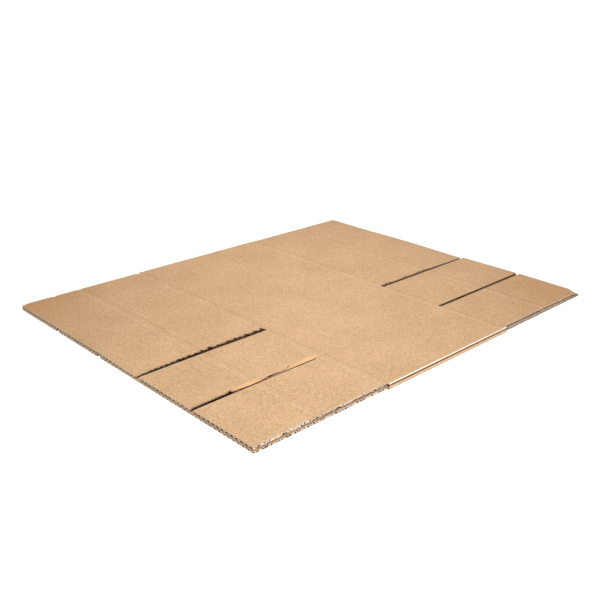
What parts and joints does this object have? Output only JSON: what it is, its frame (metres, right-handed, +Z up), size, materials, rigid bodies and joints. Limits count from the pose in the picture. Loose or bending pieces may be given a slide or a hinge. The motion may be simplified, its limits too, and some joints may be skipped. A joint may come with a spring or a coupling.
{
  "type": "flattened cardboard box",
  "caption": "Corrugated carton folded flat, with slotted flaps, pressed score lines, open flutes at the flap edges and a glued joint.",
  "frame": {"origin": "middle of the underside of the flat box", "axes": "+X across the box from the left fold to the right fold, +Y along the flutes from flap edge to flap edge, +Z up through the board"},
  "size_m": [0.52, 0.626, 0.0075],
  "materials": {
    "kraft_board": "matte unbleached kraft paper"
  },
  "bodies": {
    "root": {"folded_box": "kraft_board"}
  },
  "joints": []
}
